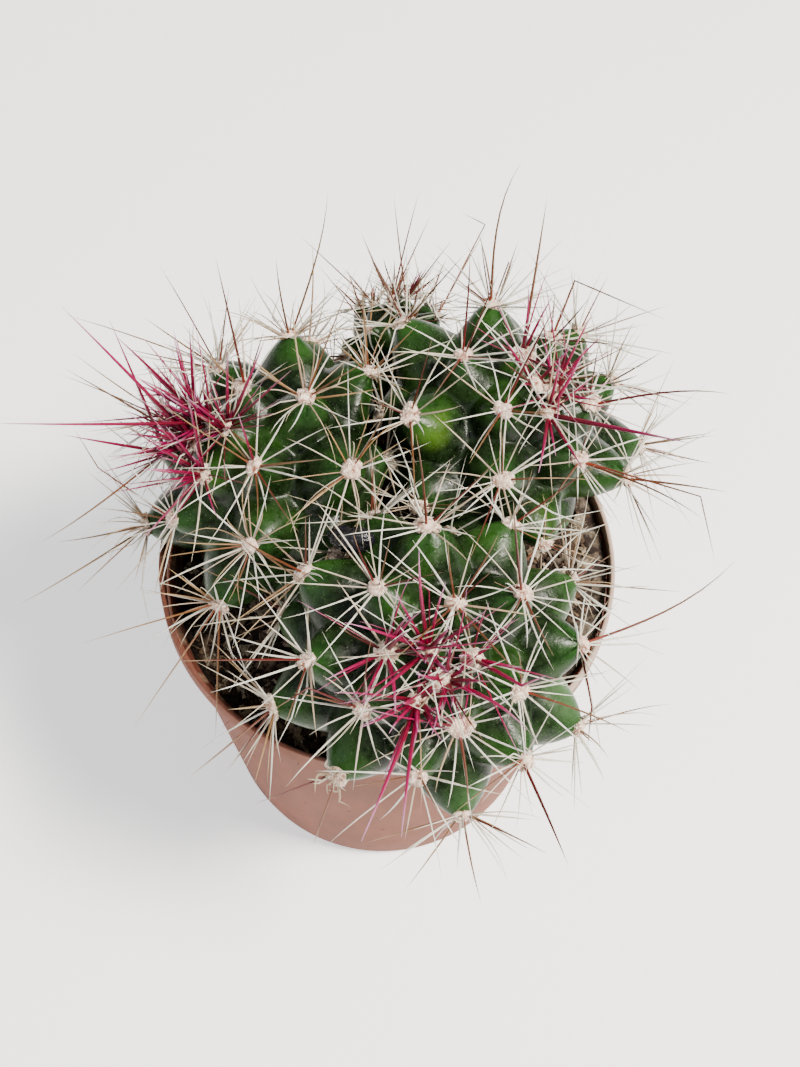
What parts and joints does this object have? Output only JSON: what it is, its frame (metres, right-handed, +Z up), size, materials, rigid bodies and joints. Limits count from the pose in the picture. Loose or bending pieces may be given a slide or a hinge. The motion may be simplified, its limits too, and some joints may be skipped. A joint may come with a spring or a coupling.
{
  "type": "potted round cactus",
  "caption": "Clump of round tubercled cactus heads with long radial and central spines, growing over the rim of a tapered plastic nursery pot.",
  "frame": {"origin": "middle of the pot's flat underside", "axes": "+Z up through the middle of the pot, -Y to the front, where the largest head hangs over the rim, +X to the right"},
  "size_m": [0.1625, 0.168, 0.1664],
  "materials": {
    "pot": "dusty pinkish terracotta plastic, moulded, a little translucent",
    "soil": "dry peat and bark mix with grit",
    "dried_flower": "shrivelled near-black flower",
    "flesh": "waxy dark green skin with pale specks"
  },
  "bodies": {
    "root": {"pot": "pot", "soil": "soil", "dried_flower": "dried_flower", "head_front": "flesh", "head_left": "flesh", "head_right": "flesh", "head_back": "flesh"}
  },
  "joints": []
}
